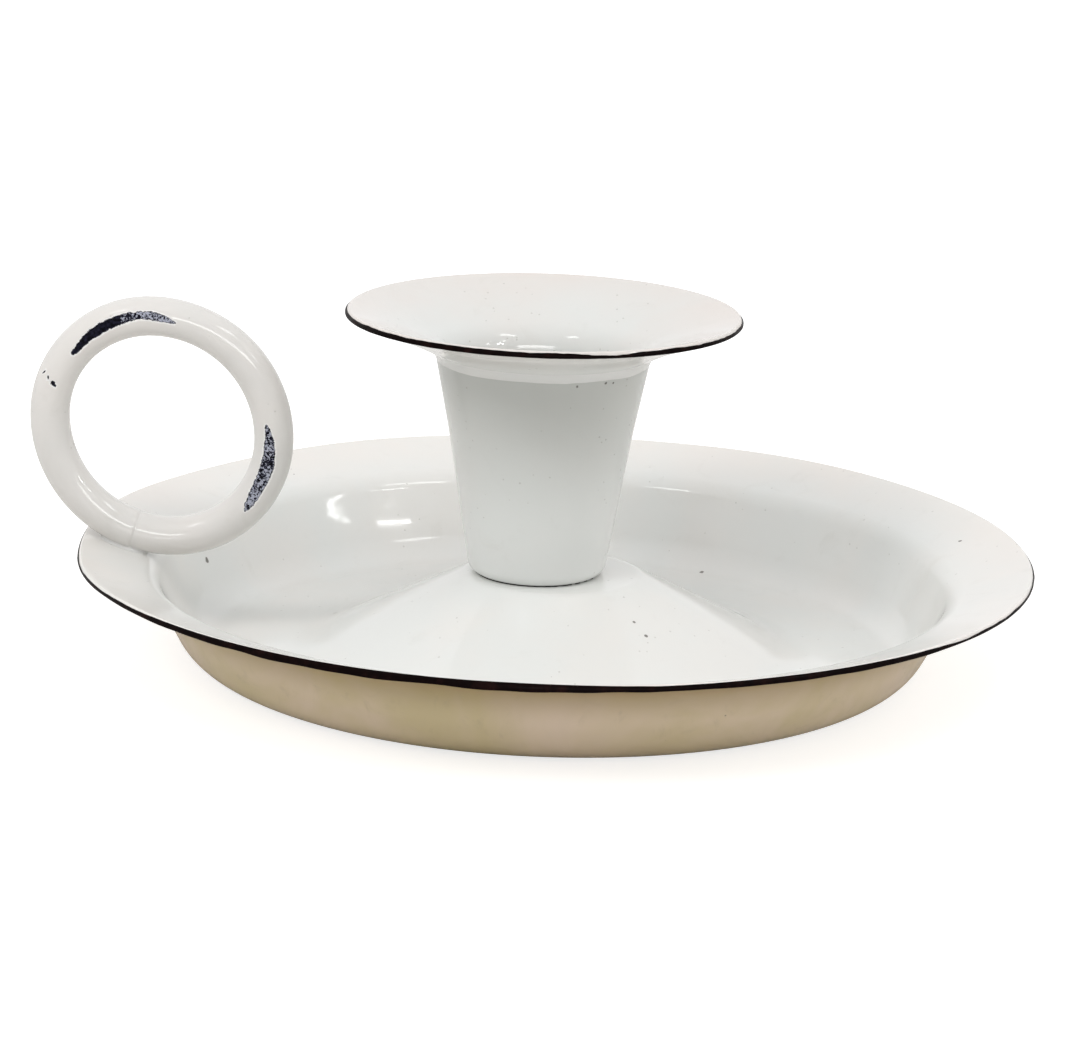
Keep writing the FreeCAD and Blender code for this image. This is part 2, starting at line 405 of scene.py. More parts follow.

# The same of the bare steel, of the cream coat under the saucer, whose tone is partly painted bounced
# light and painted shade, and of the black coat
chip_ragged_size = 0.35 * mm
chip_grain_size = 0.42 * mm
steel_mottle_size = 0.6 * mm
steel_relief_size = 0.5 * mm
steel_relief_depth = 0.03 * mm
cream_mottle_size = 26 * mm
cream_shade_start = 7 * mm
cream_shade_end = 15.5 * mm
smoke_size = 5 * mm
cream_pit_cell = 3.0 * mm
cream_pit_radius = 0.2 * mm
cream_pit_patch = 20 * mm
cream_gloss_patch = 8 * mm
cream_ripple_size = 12 * mm
cream_ripple_depth = 0.04 * mm
cream_peel_size = 1.8 * mm
cream_peel_depth = 0.004 * mm
black_mottle_size = 2.6 * mm
black_gloss_patch = 2.2 * mm
black_relief_size = 1.6 * mm
black_relief_depth = 0.02 * mm

# Colours of the coats and of what spoils them
white_cool = rgb(0.785, 0.795, 0.775)
white_warm = rgb(0.83, 0.79, 0.75)
smudge_grey = rgb(0.50, 0.48, 0.42)
fine_pit_grey = rgb(0.28, 0.26, 0.22)
pit_dark = rgb(0.10, 0.085, 0.07)
steel_dull = rgb(0.01, 0.01, 0.013)
steel_dark = rgb(0.002, 0.002, 0.003)
steel_light = rgb(0.018, 0.018, 0.034)
chip_pale = rgb(0.50, 0.52, 0.62)
chip_rim = rgb(0.90, 0.90, 0.90)
smoke_brown = rgb(0.36, 0.30, 0.22)
cream_pit = rgb(0.12, 0.09, 0.06)
black_thick = rgb(0.0035, 0.0014, 0.0014)
black_thin = rgb(0.015, 0.005, 0.0045)
floor_tone = rgb(0.82, 0.81, 0.79)


def pits(graph, size, radius, share, patch_size, patch_level):
    """Small round pits: in a share of the cells, and only where a broad noise is high."""
    distance, own = graph.cells(size)
    inside = graph.ramp(distance, radius, radius * 0.5)
    chosen = graph.math("LESS_THAN", own, share)
    patch = graph.ramp(graph.noise(patch_size, 1.0), patch_level, patch_level + 0.06)
    return graph.times(graph.times(inside, chosen), patch)


def enamel(name, cool, warm, warm_from=None, pit_share=0.10, fine_share=0.16, marks=(),
           chipped=False, gloss=(0.045, 0.11), painted_shade_up=None):
    """Glossy fired enamel: a mottled white with smudges, pinholes and a soft ripple.

    It turns from cool to warm away from an axis, where warm_from gives the axis and two radii,
    and upwards to a darker colour that is painted shade, the shade under the collar, where the last
    argument gives two heights and that colour.
    """
    graph = MaterialGraph(name)
    mottle = graph.ramp(graph.noise(mottle_size, 3.0, 0.55), 0.35, 0.68)
    if warm_from:
        outward = graph.ramp(graph.radius(warm_from[0]), warm_from[1], warm_from[2])
        share = graph.add(graph.times(mottle, 0.4), graph.times(outward, 0.6))
    else:
        share = graph.times(mottle, 0.8)
    colour = graph.mix(share, cool, warm)
    smudge = graph.ramp(graph.noise(smudge_size, 5.0, 0.62, 0.7), 0.56, 0.82, 0.0, 0.13)
    colour = graph.mix(smudge, colour, smudge_grey)
    # Painted shade: the colour turns greyer upwards, for the shade that falls under the collar.
    if painted_shade_up:
        painted_shade_share = graph.ramp(graph.axes()[2], painted_shade_up[0], painted_shade_up[1])
        colour = graph.mix(painted_shade_share, colour, painted_shade_up[2])
    holes = pits(graph, pit_cell, pit_radius, pit_share, pit_patch, pit_patch_level)
    fine_holes = pits(graph, fine_pit_cell, fine_pit_radius, fine_share, fine_pit_patch, pit_patch_level)
    colour = graph.mix(graph.times(fine_holes, 0.26), colour, fine_pit_grey)
    if marks:
        holes = graph.most([holes] + [graph.near(place, radius) for place, radius in marks])
    colour = graph.mix(graph.times(holes, 0.85), colour, pit_dark)
    rough = graph.ramp(graph.noise(gloss_patch, 3.0, 0.6), 0.3, 0.75, *gloss)
    rough = graph.add(rough, graph.times(holes, 0.4))
    hollow = graph.math("SUBTRACT", 1.0, graph.add(holes, fine_holes), clamp=True)
    if chipped:
        colour, rough = chips_in_enamel(graph, colour, rough)
    graph.shade({"Base Color": colour, "Roughness": rough, "IOR": 1.52})
    ripple = graph.noise(ripple_size, 1.0, 0.4)
    graph.bump((ripple, ripple_depth), (graph.noise(peel_size), peel_depth), (hollow, pit_depth))
    return graph.material


def chips_in_enamel(graph, colour, rough):
    """Bare oxidised steel where the enamel has flaked off, with a pale broken rim round it.

    Edge is the distance from the chip's edge in millimetres, below 0 inside it.
    """
    ragged = graph.ramp(graph.noise(chip_ragged_size, 3.0, 0.7), 0.25, 0.75, -0.1, 0.1)
    edge = graph.add(graph.attribute("chip"), ragged)
    bare = graph.ramp(edge, 0.03, -0.05)
    rim = graph.times(graph.ramp(edge, 0.30, 0.10), graph.math("SUBTRACT", 1.0, bare))
    grain = graph.ramp(graph.noise(chip_grain_size, 4.0, 0.75), 0.40, 0.60)
    kept = graph.math("LESS_THAN", grain, graph.attribute("enamel_left"))
    kept = graph.times(kept, graph.ramp(edge, -0.04, -0.16))
    mottle = graph.ramp(graph.noise(steel_mottle_size, 4.0, 0.7), 0.35, 0.7)
    steel = graph.mix(mottle, steel_dark, steel_light)
    steel = graph.mix(graph.times(kept, 0.82), steel, chip_pale)
    colour = graph.mix(graph.times(rim, 0.55), colour, chip_rim)
    colour = graph.mix(bare, colour, steel)
    rough = graph.math("ADD", rough, graph.times(bare, 0.45), clamp=True)
    return colour, rough


def bare_steel(name):
    """The floor of a chip: oxidised steel too dull to mirror anything, with enamel left in its pits."""
    graph = MaterialGraph(name)
    colour, rough = chips_in_enamel(graph, steel_dull, 0.4)
    graph.shade({"Base Color": colour, "Roughness": rough, "Specular IOR Level": 0.04})
    graph.bump((graph.noise(steel_relief_size, 3.0), steel_relief_depth))
    return graph.material


def under_enamel(name, low, high, shaded):
    """The saucer's underside: a cream ground coat whose tone also paints in warm light bounced up from
    below, and painted shade, darker and browner, up under the rim.
    """
    graph = MaterialGraph(name)
    mottle = graph.ramp(graph.noise(cream_mottle_size, 4.0, 0.6, 0.4), 0.34, 0.70)
    colour = graph.mix(mottle, low, high)
    # Painted shade: darker and browner upwards into the shade under the rim.
    painted_rim_shade = graph.ramp(graph.axes()[2], cream_shade_start, cream_shade_end, 0.0, 0.9)
    colour = graph.mix(painted_rim_shade, colour, shaded)
    smoke = graph.ramp(graph.noise(smoke_size, 5.0, 0.65, 0.8), 0.54, 0.80, 0.0, 0.22)
    colour = graph.mix(smoke, colour, smoke_brown)
    holes = pits(graph, cream_pit_cell, cream_pit_radius, 0.14, cream_pit_patch, 0.50)
    colour = graph.mix(graph.times(holes, 0.7), colour, cream_pit)
    rough = graph.ramp(graph.noise(cream_gloss_patch, 3.0, 0.6), 0.3, 0.75, 0.10, 0.24)
    graph.shade({"Base Color": colour, "Roughness": rough, "IOR": 1.5})
    ripple = graph.noise(cream_ripple_size, 1.0)
    graph.bump((ripple, cream_ripple_depth), (graph.noise(cream_peel_size), cream_peel_depth))
    return graph.material


def black_coat(name):
    """The darker second coat: near-black with a brown cast where it is thin, and hardly any shine."""
    graph = MaterialGraph(name)
    thin = graph.ramp(graph.noise(black_mottle_size, 4.0, 0.6), 0.45, 0.78)
    graph.shade({
        "Base Color": graph.mix(thin, black_thick, black_thin),
        "Roughness": graph.ramp(graph.noise(black_gloss_patch, 3.0), 0.3, 0.7, 0.22, 0.42),
        "IOR": 1.45,
        "Specular IOR Level": 0.03,
    })
    graph.bump((graph.noise(black_relief_size), black_relief_depth))
    return graph.material


# Where single flakes and blowholes lie in the enamel, and their radius
saucer_marks = [
    ((-60.0 * mm, 21.7 * mm, 8.4 * mm), 0.55 * mm),
    ((-28.2 * mm, 7.6 * mm, 6.8 * mm), 0.45 * mm),
    ((-37.3 * mm, 15.6 * mm, 1.4 * mm), 0.4 * mm),
    ((26.8 * mm, 50.6 * mm, 1.2 * mm), 0.4 * mm),
    ((69.8 * mm, 19.8 * mm, 16.6 * mm), 0.35 * mm),
    ((13.5 * mm, -16.8 * mm, 10.8 * mm), 0.3 * mm),
    ((15.5 * mm, -19.2 * mm, 9.2 * mm), 0.35 * mm),
]

# Where the socket's painted shade starts: it turns greyer upwards, towards the shade under the collar
painted_shade_start_height = crown_height + 8 * mm

# Marks on the socket near its mouth: angle in degrees, place above a common height, and radius
socket_mark_height = 49.8 * mm
socket_marks = [
    (-71, 0.0, 0.34 * mm),
    (-54, 0.3 * mm, 0.29 * mm),
    (-49, 0.1 * mm, 0.30 * mm),
    (-38, -0.5 * mm, 0.24 * mm),
]


def on_socket(degrees, rise, radius):
    """A mark on the socket's wall, from its angle about the socket's axis."""
    x = socket_mouth_radius * math.cos(math.radians(degrees)) - socket_offset
    y = socket_mouth_radius * math.sin(math.radians(degrees))
    return (x, y, socket_mark_height + rise), radius


saucer_white = enamel("saucer_white", white_cool, white_warm,
                      (0.0, rim_radius - flare_width, rim_radius), marks=saucer_marks)
# The underside's cream is partly its own tone and partly painted warm bounced light; the last colour is
# painted shade under the rim.
saucer_cream_and_bounce = under_enamel("saucer_cream_and_bounce", rgb(0.74, 0.635, 0.40), rgb(0.87, 0.725, 0.59),
                            rgb(0.33, 0.235, 0.10))
socket_white = enamel("socket_white", rgb(0.79, 0.805, 0.785), rgb(0.80, 0.795, 0.775),
                      pit_share=0.26, fine_share=0.55, marks=[on_socket(*mark) for mark in socket_marks],
                      painted_shade_up=(painted_shade_start_height, crown_height + socket_height, rgb(0.57, 0.58, 0.555)))
collar_white = enamel("collar_white", rgb(0.735, 0.745, 0.725), rgb(0.755, 0.695, 0.655),
                      (-socket_offset, socket_mouth_radius, collar_radius), 0.24, 0.34)
ring_white = enamel("ring_white", rgb(0.715, 0.70, 0.675), rgb(0.765, 0.735, 0.705), pit_share=0.06,
                    chipped=True, gloss=(0.09, 0.15))
ring_steel = bare_steel("ring_steel")
joint_white = enamel("joint_white", rgb(0.76, 0.76, 0.745), rgb(0.785, 0.77, 0.745), fine_share=0.3)
edge_black = black_coat("edge_black")


# Saucer
def flare_slope():
    return math.atan2(flare_rise, flare_width)


def pan_line():
    foot = (rim_radius - flare_width, rim_height - flare_rise)
    wall_foot = (foot[0] - wall_run, pan_sheet)
    middle = ((foot[0] + wall_foot[0]) / 2, (foot[1] + wall_foot[1]) / 2)
    along = unit(minus(foot, wall_foot))
    return [
        (rivet_hole_radius, crown_height),
        (crown_radius, crown_height),
        (wall_foot[0] - trough_width, pan_sheet),
        wall_foot,
        plus(middle, (along[1], -along[0]), wall_bow),
        foot,
        (rim_radius - rim_inset, rim_height - rim_inset * math.tan(flare_slope())),
    ]


def swell(angle, middle, half_width, size=1.0):
    """A size that is reached at a middle direction and dies away softly towards a half width.

    The angle is in radians, the middle and the half width are in degrees.
    """
    away = abs((angle - math.radians(middle) + math.pi) % full_turn - math.pi)
    share = min(away / math.radians(half_width), 1)
    return (1 + math.cos(math.pi * share)) / 2 * size


# How the saucer's rim departs from a true one: where and over what half width, in degrees, and by
# how much
rim_dip = (146, 34, 0.85 * mm)
rim_pull = (178, 27, 1.1 * mm)
rim_sag = (190, 26, 0.35 * mm)
rim_lift = (56, 24, 0.25 * mm)


def rim_warp(point):
    """The saucer's rim as it has been bent in use: dipped and pulled in beside the ring."""
    radius = math.hypot(point.x, point.y)
    outward = max(0.0, (radius - rim_radius + flare_width) / flare_width)
    angle = math.atan2(point.y, point.x)
    drop = swell(angle, *rim_dip) + swell(angle, *rim_sag) - swell(angle, *rim_lift)
    pull = swell(angle, *rim_pull) * outward ** 1.5
    inner = (radius - pull) / radius
    return Vector((point.x * inner, point.y * inner, point.z - drop * outward ** 1.3))


def saucer_warp(point):
    """The bent rim, and the rivet's hole moved across the flat crown to the socket's axis."""
    radius = math.hypot(point.x, point.y)
    share = max(0.0, min(1.0, (rivet_hole_reach - radius) / (rivet_hole_reach - rivet_hole_radius)))
    moved = rim_warp(point)
    moved.x -= socket_offset * share
    return moved


def rounded_end(first, top, bottom, last, bend):
    """The cut end of a sheet with both its corners rounded."""
    across = unit(minus(bottom, top))
    start = arc_points(top, unit(minus(first, top)), across, bend)
    end = arc_points(bottom, minus((0, 0), across), unit(minus(last, bottom)), bend)
    return start + end


def with_soft_end(near, far, bend):
    """Closed outline of a sheet: its two sides, and a soft end where both lines stop."""
    end = rounded_end(near[-2], near[-1], far[-1], far[-2], bend)
    return near[:-1] + end + far[-2::-1]


def saucer():
    bends = [crown_bend, cone_foot_bend, wall_foot_bend, wall_bow_bend, flare_bend]
    upper, lower = sheet_sides(pan_line(), bends, -pan_sheet)
    outline = with_soft_end(upper, lower, rim_end_bend)
    white_columns = len(upper) + rim_end_white_columns
    piece = lathe(
        "saucer", lambda angle: outline, [saucer_white, saucer_cream_and_bounce], warp=saucer_warp,
        face_material=lambda column: int(column >= white_columns),
    )
    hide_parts("drip_pan")
    return piece


def edge_coat(top, bottom, angle, seed, bulge, cover, hang):
    """Outline of the coat on a cut edge.

    Cover is the share of the edge's height under it, and hang how far it runs past the bottom.
    """
    down = unit(minus(bottom, top))
    out = (-down[1], down[0])
    place = Vector((math.cos(angle), math.sin(angle), seed))
    wander = noise.noise(place * 7) * 0.6 + noise.noise(place * 26) * 0.4
    depth = math.hypot(*minus(bottom, top))
    start = plus(top, down, depth * (1 - cover) * (1 + 0.7 * wander) - coat_wander * wander)
    end = plus(bottom, down, hang * (1 + 0.6 * noise.noise(place * 12)))
    count = 12
    height = math.hypot(*minus(end, start))
    points = []
    for number in range(count + 1):
        share = number / count
        round_out = math.sin(math.pi * share) ** 0.5 * bulge * (0.8 + 0.2 * wander)
        points.append(plus(plus(start, down, height * share), out, round_out))
    return points + [plus(end, out, -coat_inner), plus(start, out, -coat_inner)]


def saucer_edge():
    top = pan_line()[-1]
    bottom = beside(pan_line(), -pan_sheet)[-1]

    def outline(angle):
        front = swell(angle, -92, 122)
        heavy_and_shade = swell(angle, -104, 40)
        thin = max(min(1.0, swell(angle, 10, 64, 5)), swell(angle, 188, 44))
        spare = swell(angle, -77, 15)
        cover = (0.42 + 0.55 * front ** 0.6) * (1 - 0.5 * thin - 0.24 * spare)
        # The coat hangs further below the rim at the front: partly the black coat itself, partly painted
        # shade under the rim's edge.
        hang = (0.04 + (0.14 * front + 0.27 * heavy_and_shade) * (1 - thin)) * mm
        return edge_coat(top, bottom, angle, 1.0, rim_coat_bulge, cover, hang)

    piece = lathe("saucer_edge", outline, [edge_black], warp=rim_warp)
    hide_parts("pan_edge_band")
    return piece


# Candle socket
def socket_line():
    waist = socket_mouth_radius - socket_mouth_flare
    return [
        (rivet_hole_radius, crown_height),
        (waist - socket_body_flare, crown_height),
        (waist, crown_height + socket_waist_height),
        (socket_mouth_radius, crown_height + socket_height),
    ]


def socket():
    bends = [socket_foot_bend, socket_waist_bend]
    outer, inner = sheet_sides(socket_line(), bends, socket_sheet)
    outline = with_soft_end(outer, inner, socket_end_bend)
    piece = lathe("socket", lambda angle: outline, [socket_white], axis_x=-socket_offset)
    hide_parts("candle_socket")
    return piece


def socket_foot_shade():
    """A black ring in the gap round the socket's foot, painted shade of that crevice, broken where
    enamel has run into it.
    """
    base = crown_height - foot_line_sunk
    count = 8
    ways = [math.pi * number / count for number in range(count + 1)]

    def outline(angle):
        place = Vector((math.cos(angle), math.sin(angle), 0))
        right = swell(angle, -38, 62)
        broken = max(0.0, min(1.0, 0.5 + 2.6 * noise.noise(place * 9))) * right
        half = foot_line_width / 2 * (1 - broken) * (1 + 0.3 * noise.noise(place * 21))
        height = foot_line_height * (1 - broken)
        return [
            (foot_line_radius + half * math.cos(way), base + height * math.sin(way)) for way in ways
        ]

    piece = lathe("socket_foot_shade", outline, [edge_black], axis_x=-socket_offset)
    return piece


# Drip collar
def collar_line():
    waist, mouth = beside(socket_line(), socket_sheet)[-2:]
    lean = (mouth[0] - waist[0]) / (mouth[1] - waist[1])
    level = crown_height + socket_height
    top = level + collar_seat_clearance
    neck = mouth[0] + (top - mouth[1]) * lean - collar_neck_clearance
    drop = collar_neck_length + collar_seat_clearance
    slope = math.atan2(collar_rise - collar_turn_rise, collar_radius - collar_turn_radius)
    return [
        (neck - drop * lean, top - drop),
        (neck, top),
        (collar_turn_radius, top + collar_turn_rise),
        (collar_radius - collar_inset, top + collar_rise - collar_inset * math.tan(slope)),
    ]


def collar_warp(point):
    """The collar's rim hangs a little lower at both sides and behind than it does in front."""
    x = point.x + socket_offset
    outward = max(0.0, math.hypot(x, point.y) / collar_radius - collar_sag_start_share)
    outward /= 1 - collar_sag_start_share
    front = swell(math.atan2(point.y, x), -110, 100)
    drop = collar_sag * (1 - 0.9 * front) * outward ** 1.3
    return Vector((point.x, point.y, point.z - drop))


def collar():
    lower = divided(bent(collar_line(), [collar_neck_bend, collar_turn_bend]), run_step)
    upper_bends = [collar_lip_bend, collar_turn_bend + collar_sheet]
    upper = divided(bent(beside(collar_line(), collar_sheet), upper_bends), run_step)
    outline = with_soft_end(lower, upper, collar_end_bend)
    piece = lathe("collar", lambda angle: outline, [collar_white], axis_x=-socket_offset,
                  warp=collar_warp)
    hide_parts("drip_collar")
    return piece


def collar_edge():
    bottom = collar_line()[-1]
    top = beside(collar_line(), collar_sheet)[-1]

    def outline(angle):
        front = swell(angle, -118, 180)
        cover = 0.36 + 0.36 * front ** 0.7 - swell(angle, -71, 13, 0.26)
        hang = (-0.04 + 0.08 * front) * mm
        return edge_coat(top, bottom, angle, 4.0, collar_coat_bulge, cover, hang)

    piece = lathe("collar_edge", outline, [edge_black], axis_x=-socket_offset, warp=collar_warp)
    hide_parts("collar_edge_band")
    return piece


def collar_fillet():
    """The enamelled braze that closes the corner between the socket's mouth and the collar."""
    level = crown_height + socket_height
    lean = socket_mouth_flare / (socket_height - socket_waist_height)
    neck, turn = collar_line()[1:3]
    rise = (turn[1] - neck[1]) / (turn[0] - neck[0])
    corner = (socket_mouth_radius - fillet_root, level + fillet_step)
    count = 10

    def outline(angle):
        place = Vector((math.cos(angle), math.sin(angle), 7.0))
        leg = fillet_leg * (1 + 0.14 * noise.noise(place * 3) + 0.05 * noise.noise(place * 11))
        low = (socket_mouth_radius - leg * lean - fillet_sunk, level - leg)
        reach = socket_mouth_radius + leg
        high = (reach, neck[1] + (reach - neck[0]) * rise + fillet_sunk)
        points = [plus(low, (-fillet_foot, -fillet_foot))]
        for number in range(count + 1):
            share = number / count
            straight = plus(low, minus(high, low), share)
            sag = math.sin(math.pi * share) * leg * fillet_hollow_share
            points.append(plus(straight, (-0.7 * sag, 0.7 * sag)))
        return points + [plus(high, (fillet_step, fillet_root)), corner]

    piece = lathe("collar_fillet", outline, [joint_white], axis_x=-socket_offset)
    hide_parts("collar_braze")
    return piece


# Finger ring
def ring_arc_radii():
    grow = (ring_long_radius - ring_short_radius) / (math.sin(ring_blend) + math.cos(ring_blend) - 1)
    end = ring_long_radius - grow * math.cos(ring_blend)
    return end, end + grow


def ring_way(turn):
    angle = math.pi / 2 + ring_lean + turn
    return Vector((math.cos(angle), 0, math.sin(angle)))


def ring_arc(turn):
    """Centre, from the oval's own, and radius of the arc that holds a turn."""
    quarter = math.pi / 2
    end_radius, side_radius = ring_arc_radii()
    shift = (turn + ring_blend) % math.pi
    number = round((turn + ring_blend - shift) / math.pi) * 2
    if shift > 2 * ring_blend:
        return ring_way((number + 1) * quarter) * (ring_short_radius - side_radius), side_radius
    return ring_way(number * quarter) * (ring_long_radius - end_radius), end_radius


def contact_turn():
    return full_turn * 3 / 4 - flare_slope() - math.pi / 2 - ring_lean


def ring_contact():
    drop = ring_contact_inset * math.tan(flare_slope())
    return Vector((ring_contact_inset - rim_radius, 0, rim_height - drop))


def ring_centre():
    centre, radius = ring_arc(contact_turn())
    reach = radius + ring_tube_radius + ring_seat_clearance
    return ring_contact() - centre - ring_way(contact_turn()) * reach


# Chips in the ring's enamel: points of each chip's middle line, as the turn along the ring and the
# angle round the tube in degrees and the half width in millimetres, then the share of enamel left
ring_chips = [
    ([(6, -93, 0.35), (0, -91, 0.62), (-16, -83, 0.92), (-27, -79, 0.88)], 0.0),
    ([(-25, -80, 0.86), (-31, -78, 0.86), (-38, -77, 0.60)], 0.24),
    ([(-37, -76, 0.64), (-43, -78, 0.72), (-50, -84, 0.60), (-55, -91, 0.20)], 0.52),
    ([(-125, -104, 0.30), (-133, -99, 0.86), (-147, -97, 1.22), (-158, -100, 1.12)], 0.30),
    ([(-158, -100, 1.12), (-166, -98, 1.0), (-172, -93, 0.70), (-176, -89, 0.25)], 0.38),
    ([(27.5, -95, 0.26), (26.6, -87, 0.46), (26.0, -83, 0.18)], 0.0),
    ([(25.6, -71, 0.14), (24.4, -66, 0.16)], 0.0),
    ([(22.5, -50, 0.10), (24.2, -44, 0.12)], 0.0),
]
chip_depth = 0.13 * mm
chip_wall = 0.12 * mm
chip_reach = 0.6 * mm
chip_coarse_size = 0.9 * mm
chip_coarse_depth = 0.16 * mm
chip_fine_size = 0.4 * mm
chip_fine_depth = 0.09 * mm


def ring_mean_radius():
    return (ring_long_radius + ring_short_radius) / 2


def chip_places():
    """Each chip's middle line as distances along the ring and round the tube, in metres."""
    along = ring_mean_radius()
    return [
        ([(math.radians(turn) * along, math.radians(around) * ring_tube_radius, half * mm)
          for turn, around, half in line], left)
        for line, left in ring_chips
    ]


def distance_to(line, x, y):
    """Signed distance from the edge of a strip of changing half width."""
    best = math.inf
    for (ax, ay, ah), (bx, by, bh) in zip(line, line[1:]):
        dx, dy = bx - ax, by - ay
        share = ((x - ax) * dx + (y - ay) * dy) / (dx * dx + dy * dy)
        share = max(0.0, min(1.0, share))
        away = math.hypot(x - ax - share * dx, y - ay - share * dy)
        best = min(best, away - ah - share * (bh - ah))
    return best


def chip_at(chips, turn, around, point):
    """How far a point of the ring lies from the nearest chip's edge, and the enamel left there."""
    x = turn * ring_mean_radius()
    y = ((around + math.pi) % full_turn - math.pi) * ring_tube_radius
    nearest, left = chip_reach, 0.0
    for line, share in chips:
        low = min(place[0] for place in line) - 2 * chip_reach
        high = max(place[0] for place in line) + 2 * chip_reach
        if low < x < high:
            away = distance_to(line, x, y)
            if away < nearest:
                nearest, left = away, share
    ragged = noise.noise(point / chip_coarse_size) * chip_coarse_depth
    ragged += noise.noise(point / chip_fine_size) * chip_fine_depth
    return min(nearest + ragged, chip_reach), left


def seam_relief(turn):
    """How the film dips over the butt joint, and how the tube's end on one side stands proud."""
    along = (turn - contact_turn()) * ring_short_radius
    if along < -math.pi * ring_short_radius:
        along += full_turn * ring_short_radius
    groove = seam_depth * math.exp(-(along / seam_width) ** 2)
    proud = seam_step * math.exp(-(along / seam_step_length) ** 2) if along < 0 else 0.0
    return proud - groove


def ring_point(turn, around, tube_radius):
    """A point of the tube: around is 0 on the oval's outside and a quarter turn on its +Y side."""
    centre, radius = ring_arc(turn)
    reach = radius + tube_radius * math.cos(around)
    side = Vector((0, tube_radius * math.sin(around), 0))
    return ring_centre() + centre + ring_way(turn) * reach + side


def finger_ring():
    chips = chip_places()
    points, edges, lefts = [], [], []
    for row in range(ring_rows):
        turn = contact_turn() - full_turn * (row + 0.5) / ring_rows
        seam = seam_relief(turn)
        for column in range(ring_columns):
            around = full_turn * column / ring_columns
            even = ring_point(turn, around, ring_tube_radius)
            edge, left = chip_at(chips, turn, around, even)
            sink = chip_depth * (1 - left * 0.6) * max(0.0, min(1.0, 0.5 - edge / chip_wall))
            wavy = noise.noise(even / ring_wave_size) * ring_wave_depth
            tube = ring_tube_radius - ring_film + seam + wavy - sink
            points.append(ring_point(turn, around, tube))
            edges.append(edge / mm)
            lefts.append(left)
    faces = grid_faces(ring_rows, ring_columns, True)
    piece = new_piece("ring", points, faces, [ring_white, ring_steel])
    bare = [int(max(edges[corner] for corner in face) < 0) for face in faces]
    piece.data.polygons.foreach_set("material_index", bare)
    for name, values in (("chip", edges), ("enamel_left", lefts)):
        made = piece.data.attributes.new(name, "FLOAT", "POINT")
        made.data.foreach_set("value", values)
    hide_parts("finger_ring")
    return piece


def web_section(along):
    """Half outline of the web across the ring at a distance from the contact: across and height."""
    outer = ring_arc(contact_turn())[1] + ring_tube_radius
    gap = ring_seat_clearance + outer - math.sqrt(outer * outer - along * along)
    length = ring_web_outward if along > 0 else ring_web_inward
    share = abs(along) / length
    end_outer = outer - math.sqrt(outer * outer - length ** 2)
    last = (ring_seat_clearance + end_outer) / 2 + ring_web_end_play
    bend = ring_web_bend + (last - ring_web_bend) * share ** 1.4
    lift = gap + ring_tube_radius - bend
    reach = math.sqrt(max(0.0, (ring_tube_radius + bend) ** 2 - lift * lift))
    turn = math.atan2(lift, reach)
    count = 14
    points = []
    for number in range(count + 1):
        way = math.pi * 1.5 - (math.pi / 2 + turn) * number / count
        points.append((reach + bend * math.cos(way), bend + bend * math.sin(way)))
    return points


def ring_web():
    """The enamelled braze under the ring: hollow fillets between its tube and the flare."""
    slope = Vector((-math.cos(flare_slope()), 0, math.sin(flare_slope())))
    normal = Vector((math.sin(flare_slope()), 0, math.cos(flare_slope())))
    across = Vector((0, 1, 0))
    sunk = ring_web_sunk
    points = []
    for row in range(web_rows):
        share = 2 * row / (web_rows - 1) - 1
        length = ring_web_outward if share > 0 else ring_web_inward
        along = length * math.copysign(abs(share) ** 0.8, share)
        half = web_section(along)
        base = ring_contact() + slope * along
        wave = 1 + 0.10 * noise.noise(base / ring_web_wave_size)
        foot = half[0][0]
        skirt = [(foot + 3 * sunk, -sunk), (foot + 2 * sunk, -ring_web_skirt_sunk)]
        outline = skirt + half + [(half[-1][0] - sunk, half[-1][1] + sunk)]
        right = [(max(ring_web_least_half, y * wave), z) for y, z in outline]
        section = right + [(-y, z) for y, z in right[::-1]]
        for y, z in section:
            point = base + across * y + normal * z
            on_flare = max(0.0, 1 - max(0.0, z) / ring_tube_radius)
            points.append(point.lerp(rim_warp(point), on_flare))
    columns = len(points) // web_rows
    faces = grid_faces(web_rows, columns, False)
    faces.append(tuple(range(columns))[::-1])
    faces.append(tuple(range((web_rows - 1) * columns, web_rows * columns)))
    piece = new_piece("ring_web", points, faces, [joint_white])
    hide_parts("ring_braze")
    return piece


# Camera, floor and light. The camera is the one that gives the two rims their ellipses.
camera_place = Vector((0, -655.8 * mm, 194.5 * mm))
camera_pan = math.radians(-0.215)
camera_tilt = math.radians(14.678)
camera_roll = math.radians(1.78)
camera_clip = 0.01
focal_pixels = 4059.0
image_width = 1080.0
sensor_width = 36.0

# How bright the tent is at its sides, above, behind and in front, and how much more to the right
tent_side = 1.0
tent_right = 0.24
tent_top = 0.70
tent_back = 0.58
tent_front = 0.12

# The floor: half its width, its drop, the radii between which it turns white, how white it is at
# the first of them, and what it glows by
floor_half = 3.0
floor_drop = 0.05 * mm
floor_white_start = 0.09
floor_white_end = 0.30
floor_white_share = 0.35
floor_lift = 0.40

# Lamps: name, azimuth, elevation, width and height in degrees, and radiance
lamp_distance = 1.2
soft_lamps = [
    ("key", -44, 40, 17, 14, 9.6),
    ("front", 0, 58, 33, 24, 3.2),
    ("right", 70, 45, 28, 24, 0.8),
]

